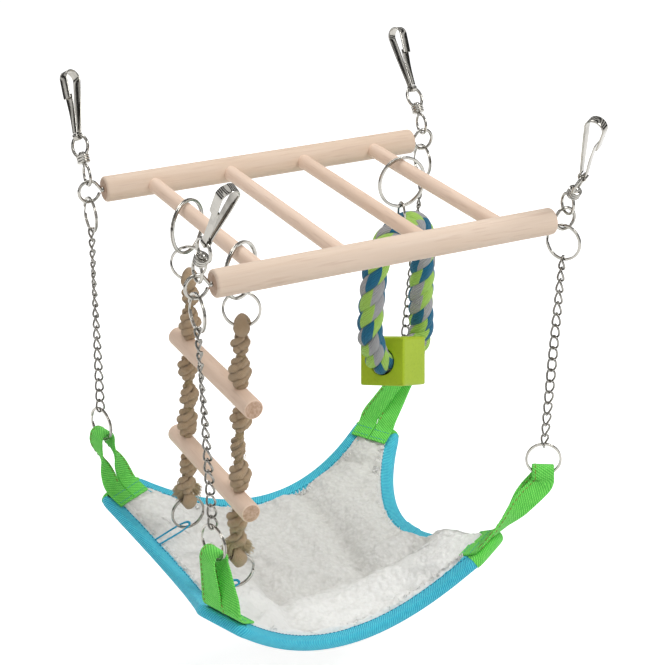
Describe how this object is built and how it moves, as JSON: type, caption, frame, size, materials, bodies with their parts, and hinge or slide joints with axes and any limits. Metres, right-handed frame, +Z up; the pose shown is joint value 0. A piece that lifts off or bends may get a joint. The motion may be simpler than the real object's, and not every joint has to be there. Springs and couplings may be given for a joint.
{
  "type": "small animal hammock bridge",
  "caption": "Hanging wooden ladder bridge for small animals on swivel snap hooks, with a chain-slung fleece hammock, a knotted rope ladder and a rope chew toy.",
  "frame": {"origin": "above the middle of the wooden bridge, level with the place where the hooks bear on the cage", "axes": "+X along the rails to the right, +Y to the back, +Z up"},
  "size_m": [0.2219, 0.2251, 0.2863],
  "materials": {
    "rail_wood": "smooth unfinished beech",
    "rung_wood": "smooth unfinished beech",
    "eye_steel": "bright zinc",
    "hook_steel": "bright nickel",
    "ring_steel": "bright nickel",
    "chain_steel": "bright nickel",
    "fleece": "long pile fleece",
    "binding": "ribbed woven tape",
    "webbing": "woven webbing",
    "jute": "twisted jute, knotted",
    "thread": "plain thread",
    "toy_rope": "three-strand cotton rope",
    "block_paint": "satin paint on wood"
  },
  "bodies": {
    "bridge": {"front_rail": "rail_wood", "back_rail": "rail_wood", "rung_1": "rung_wood", "rung_2": "rung_wood", "rung_3": "rung_wood", "rung_4": "rung_wood", "screw_eye_front_left": "eye_steel", "screw_eye_front_right": "eye_steel", "screw_eye_back_right": "eye_steel", "screw_eye_back_left": "eye_steel"},
    "swivel_loop_front_left": {"swivel_loop_front_left": "hook_steel"},
    "swivel_bail_front_left": {"swivel_bail_front_left": "hook_steel"},
    "snap_hook_front_left": {"snap_hook_front_left": "hook_steel"},
    "hook_gate_front_left": {"hook_gate_front_left": "hook_steel"},
    "swivel_loop_front_right": {"swivel_loop_front_right": "hook_steel"},
    "swivel_bail_front_right": {"swivel_bail_front_right": "hook_steel"},
    "snap_hook_front_right": {"snap_hook_front_right": "hook_steel"},
    "hook_gate_front_right": {"hook_gate_front_right": "hook_steel"},
    "swivel_loop_back_right": {"swivel_loop_back_right": "hook_steel"},
    "swivel_bail_back_right": {"swivel_bail_back_right": "hook_steel"},
    "snap_hook_back_right": {"snap_hook_back_right": "hook_steel"},
    "hook_gate_back_right": {"hook_gate_back_right": "hook_steel"},
    "swivel_loop_back_left": {"swivel_loop_back_left": "hook_steel"},
    "swivel_bail_back_left": {"swivel_bail_back_left": "hook_steel"},
    "snap_hook_back_left": {"snap_hook_back_left": "hook_steel"},
    "hook_gate_back_left": {"hook_gate_back_left": "hook_steel"},
    "upper_ring_front_left": {"upper_ring_front_left": "ring_steel"},
    "chain_front_left": {"chain_front_left": "chain_steel"},
    "lower_ring_front_left": {"lower_ring_front_left": "ring_steel"},
    "upper_ring_front_right": {"upper_ring_front_right": "ring_steel"},
    "chain_front_right": {"chain_front_right": "chain_steel"},
    "lower_ring_front_right": {"lower_ring_front_right": "ring_steel"},
    "upper_ring_back_right": {"upper_ring_back_right": "ring_steel"},
    "chain_back_right": {"chain_back_right": "chain_steel"},
    "lower_ring_back_right": {"lower_ring_back_right": "ring_steel"},
    "upper_ring_back_left": {"upper_ring_back_left": "ring_steel"},
    "chain_back_left": {"chain_back_left": "chain_steel"},
    "lower_ring_back_left": {"lower_ring_back_left": "ring_steel"},
    "hammock": {"fleece_pad": "fleece", "edge_binding": "binding", "webbing_loop_front_left": "webbing", "webbing_loop_front_right": "webbing", "webbing_loop_back_right": "webbing", "webbing_loop_back_left": "webbing", "tie_thread_back": "thread", "tie_thread_front": "thread"},
    "ladder_ring_back": {"ladder_ring_back": "ring_steel"},
    "rope_back": {"rope_ring_back": "ring_steel", "jute_rope_back": "jute", "tie_ring_back": "ring_steel"},
    "ladder_ring_front": {"ladder_ring_front": "ring_steel"},
    "rope_front": {"rope_ring_front": "ring_steel", "jute_rope_front": "jute", "tie_ring_front": "ring_steel"},
    "ladder_dowel_1": {"ladder_dowel_1": "rung_wood"},
    "ladder_dowel_2": {"ladder_dowel_2": "rung_wood"},
    "toy_ring": {"toy_ring": "ring_steel"},
    "toy_rope": {"toy_link": "ring_steel", "toy_rope": "toy_rope"},
    "toy_block": {"toy_block": "block_paint"}
  },
  "joints": [
    {"name": "hook_swing_front_left", "type": "hinge", "parent": "bridge", "child": "swivel_loop_front_left", "pos_m": [-0.1032, -0.075, -0.0525], "axis": [1, 0, 0], "range_deg": [-93, 47]},
    {"name": "bail_spin_front_left", "type": "hinge", "parent": "swivel_loop_front_left", "child": "swivel_bail_front_left", "pos_m": [-0.1032, -0.075, -0.0525], "axis": [0, -0.5446, 0.8387], "continuous": true},
    {"name": "hook_tilt_front_left", "type": "hinge", "parent": "swivel_bail_front_left", "child": "snap_hook_front_left", "pos_m": [-0.1032, -0.089, -0.03095], "axis": [0.1736, -0.8259, -0.5364], "range_deg": [-23, 37]},
    {"name": "gate_flex_front_left", "type": "hinge", "parent": "snap_hook_front_left", "child": "hook_gate_front_left", "pos_m": [-0.10462, -0.0901, -0.02971], "axis": [-0.1736, 0.8259, 0.5364], "range_deg": [0, 8], "stiffness_Nm_per_rad": 0.02},
    {"name": "hook_swing_front_right", "type": "hinge", "parent": "bridge", "child": "swivel_loop_front_right", "pos_m": [0.1032, -0.075, -0.0525], "axis": [1, 0, 0], "range_deg": [-93, 47]},
    {"name": "bail_spin_front_right", "type": "hinge", "parent": "swivel_loop_front_right", "child": "swivel_bail_front_right", "pos_m": [0.1032, -0.075, -0.0525], "axis": [0, -0.5446, 0.8387], "continuous": true},
    {"name": "hook_tilt_front_right", "type": "hinge", "parent": "swivel_bail_front_right", "child": "snap_hook_front_right", "pos_m": [0.1032, -0.089, -0.03095], "axis": [0.8387, 0.4568, 0.2966], "range_deg": [-19, 41]},
    {"name": "gate_flex_front_right", "type": "hinge", "parent": "snap_hook_front_right", "child": "hook_gate_front_right", "pos_m": [0.10392, -0.09087, -0.0301], "axis": [-0.8387, -0.4568, -0.2966], "range_deg": [0, 8], "stiffness_Nm_per_rad": 0.02},
    {"name": "hook_swing_back_right", "type": "hinge", "parent": "bridge", "child": "swivel_loop_back_right", "pos_m": [0.1032, 0.075, -0.0525], "axis": [-1, 0, 0], "range_deg": [-93, 47]},
    {"name": "bail_spin_back_right", "type": "hinge", "parent": "swivel_loop_back_right", "child": "swivel_bail_back_right", "pos_m": [0.1032, 0.075, -0.0525], "axis": [0, 0.5446, 0.8387], "continuous": true},
    {"name": "hook_tilt_back_right", "type": "hinge", "parent": "swivel_bail_back_right", "child": "snap_hook_back_right", "pos_m": [0.1032, 0.089, -0.03095], "axis": [0.9511, 0.2592, -0.1683], "range_deg": [-29, 31]},
    {"name": "gate_flex_back_right", "type": "hinge", "parent": "snap_hook_back_right", "child": "hook_gate_back_right", "pos_m": [0.10369, 0.08853, -0.02888], "axis": [-0.9511, -0.2592, 0.1683], "range_deg": [0, 8], "stiffness_Nm_per_rad": 0.02},
    {"name": "hook_swing_back_left", "type": "hinge", "parent": "bridge", "child": "swivel_loop_back_left", "pos_m": [-0.1032, 0.075, -0.0525], "axis": [-1, 0, 0], "range_deg": [-93, 47]},
    {"name": "bail_spin_back_left", "type": "hinge", "parent": "swivel_loop_back_left", "child": "swivel_bail_back_left", "pos_m": [-0.1032, 0.075, -0.0525], "axis": [0, 0.5446, 0.8387], "continuous": true},
    {"name": "hook_tilt_back_left", "type": "hinge", "parent": "swivel_bail_back_left", "child": "snap_hook_back_left", "pos_m": [-0.1032, 0.089, -0.03095], "axis": [0.4695, -0.7405, 0.4809], "range_deg": [-22, 38]},
    {"name": "gate_flex_back_left", "type": "hinge", "parent": "snap_hook_back_left", "child": "hook_gate_back_left", "pos_m": [-0.10444, 0.08935, -0.02919], "axis": [-0.4695, 0.7405, -0.4809], "range_deg": [0, 8], "stiffness_Nm_per_rad": 0.02},
    {"name": "hammock_swing", "type": "hinge", "parent": "bridge", "child": "upper_ring_front_left", "pos_m": [-0.1032, -0.075, -0.0641], "axis": [1, 0, 0], "range_deg": [-4, 10]},
    {"name": "hammock_sway", "type": "hinge", "parent": "upper_ring_front_left", "child": "chain_front_left", "pos_m": [-0.1032, -0.075, -0.08085], "axis": [0, 1, 0], "range_deg": [-8, 6]},
    {"name": "ring_level_front_left", "type": "hinge", "parent": "chain_front_left", "child": "lower_ring_front_left", "pos_m": [-0.0987, -0.075, -0.18901], "axis": [0, 1, 0], "range_deg": [-6.41, 8.54]},
    {"name": "ring_swing_front_right", "type": "hinge", "parent": "bridge", "child": "upper_ring_front_right", "pos_m": [0.1032, -0.075, -0.0641], "axis": [1, 0, 0], "range_deg": [-4.05, 10.05]},
    {"name": "chain_sway_front_right", "type": "hinge", "parent": "upper_ring_front_right", "child": "chain_front_right", "pos_m": [0.1032, -0.075, -0.08085], "axis": [0, 1, 0], "range_deg": [-8.05, 6.05]},
    {"name": "ring_level_front_right", "type": "hinge", "parent": "chain_front_right", "child": "lower_ring_front_right", "pos_m": [0.0982, -0.075, -0.18898], "axis": [0, 1, 0], "range_deg": [-6.41, 8.54]},
    {"name": "ring_swing_back_right", "type": "hinge", "parent": "bridge", "child": "upper_ring_back_right", "pos_m": [0.1032, 0.075, -0.0641], "axis": [1, 0, 0], "range_deg": [-4.05, 10.05]},
    {"name": "chain_sway_back_right", "type": "hinge", "parent": "upper_ring_back_right", "child": "chain_back_right", "pos_m": [0.1032, 0.075, -0.08085], "axis": [0, 1, 0], "range_deg": [-8.05, 6.05]},
    {"name": "ring_level_back_right", "type": "hinge", "parent": "chain_back_right", "child": "lower_ring_back_right", "pos_m": [0.0932, 0.075, -0.18864], "axis": [0, 1, 0], "range_deg": [-6.41, 8.54]},
    {"name": "ring_swing_back_left", "type": "hinge", "parent": "bridge", "child": "upper_ring_back_left", "pos_m": [-0.1032, 0.075, -0.0641], "axis": [1, 0, 0], "range_deg": [-4.05, 10.05]},
    {"name": "chain_sway_back_left", "type": "hinge", "parent": "upper_ring_back_left", "child": "chain_back_left", "pos_m": [-0.1032, 0.075, -0.08085], "axis": [0, 1, 0], "range_deg": [-8.05, 6.05]},
    {"name": "ring_level_back_left", "type": "hinge", "parent": "chain_back_left", "child": "lower_ring_back_left", "pos_m": [-0.1042, 0.075, -0.1891], "axis": [0, 1, 0], "range_deg": [-6.41, 8.54]},
    {"name": "hammock_level", "type": "hinge", "parent": "lower_ring_front_left", "child": "hammock", "pos_m": [-0.0987, -0.075, -0.19836], "axis": [1, 0, 0], "range_deg": [-10.05, 4.05]},
    {"name": "ladder_sway_back", "type": "hinge", "parent": "bridge", "child": "ladder_ring_back", "pos_m": [-0.0675, 0.0235, -0.0583], "axis": [0, 1, 0], "range_deg": [-4.68, 3.52]},
    {"name": "rope_swing_back", "type": "hinge", "parent": "ladder_ring_back", "child": "rope_back", "pos_m": [-0.0675, 0.0235, -0.08114], "axis": [1, 0, 0], "range_deg": [-3.32, 8.23]},
    {"name": "ladder_sway_front", "type": "hinge", "parent": "bridge", "child": "ladder_ring_front", "pos_m": [-0.0675, -0.0455, -0.0583], "axis": [0, 1, 0], "range_deg": [-4.68, 3.52]},
    {"name": "rope_swing_front", "type": "hinge", "parent": "ladder_ring_front", "child": "rope_front", "pos_m": [-0.0675, -0.0455, -0.08114], "axis": [1, 0, 0], "range_deg": [-3.32, 8.23]},
    {"name": "dowel_level_1", "type": "hinge", "parent": "rope_back", "child": "ladder_dowel_1", "pos_m": [-0.06927, 0.0235, -0.1363], "axis": [1, 0, 0], "range_deg": [-8.23, 3.32]},
    {"name": "dowel_level_2", "type": "hinge", "parent": "rope_back", "child": "ladder_dowel_2", "pos_m": [-0.07195, 0.0235, -0.1953], "axis": [1, 0, 0], "range_deg": [-8.23, 3.32]},
    {"name": "toy_sway", "type": "hinge", "parent": "bridge", "child": "toy_ring", "pos_m": [0.0675, 0.035, -0.0583], "axis": [0, 1, 0], "range_deg": [-2, 20]},
    {"name": "toy_swing", "type": "hinge", "parent": "toy_ring", "child": "toy_rope", "pos_m": [0.0675, 0.035, -0.08114], "axis": [1, 0, 0], "range_deg": [-15, 2]},
    {"name": "block_turn", "type": "hinge", "parent": "toy_rope", "child": "toy_block", "pos_m": [0.06541, 0.03841, -0.17894], "axis": [0.8012, 0.491, -0.342], "continuous": true}
  ],
  "couplings": [
    {"joint": "ring_level_front_left", "follows": "hammock_sway", "ratio": -1.0606},
    {"joint": "ring_level_front_right", "follows": "hammock_sway", "ratio": -1.0606},
    {"joint": "ring_swing_front_right", "follows": "hammock_swing", "ratio": 1},
    {"joint": "chain_sway_front_right", "follows": "hammock_sway", "ratio": 1},
    {"joint": "ring_level_back_right", "follows": "hammock_sway", "ratio": -1.0606},
    {"joint": "ring_swing_back_right", "follows": "hammock_swing", "ratio": 1},
    {"joint": "chain_sway_back_right", "follows": "hammock_sway", "ratio": 1},
    {"joint": "ring_level_back_left", "follows": "hammock_sway", "ratio": -1.0606},
    {"joint": "ring_swing_back_left", "follows": "hammock_swing", "ratio": 1},
    {"joint": "chain_sway_back_left", "follows": "hammock_sway", "ratio": 1},
    {"joint": "hammock_level", "follows": "hammock_swing", "ratio": -1},
    {"joint": "ladder_sway_back", "follows": "hammock_sway", "ratio": 0.5783},
    {"joint": "rope_swing_back", "follows": "hammock_swing", "ratio": 0.8178},
    {"joint": "ladder_sway_front", "follows": "hammock_sway", "ratio": 0.5783},
    {"joint": "rope_swing_front", "follows": "hammock_swing", "ratio": 0.8178},
    {"joint": "dowel_level_1", "follows": "hammock_swing", "ratio": -0.8178},
    {"joint": "dowel_level_2", "follows": "hammock_swing", "ratio": -0.8178}
  ]
}
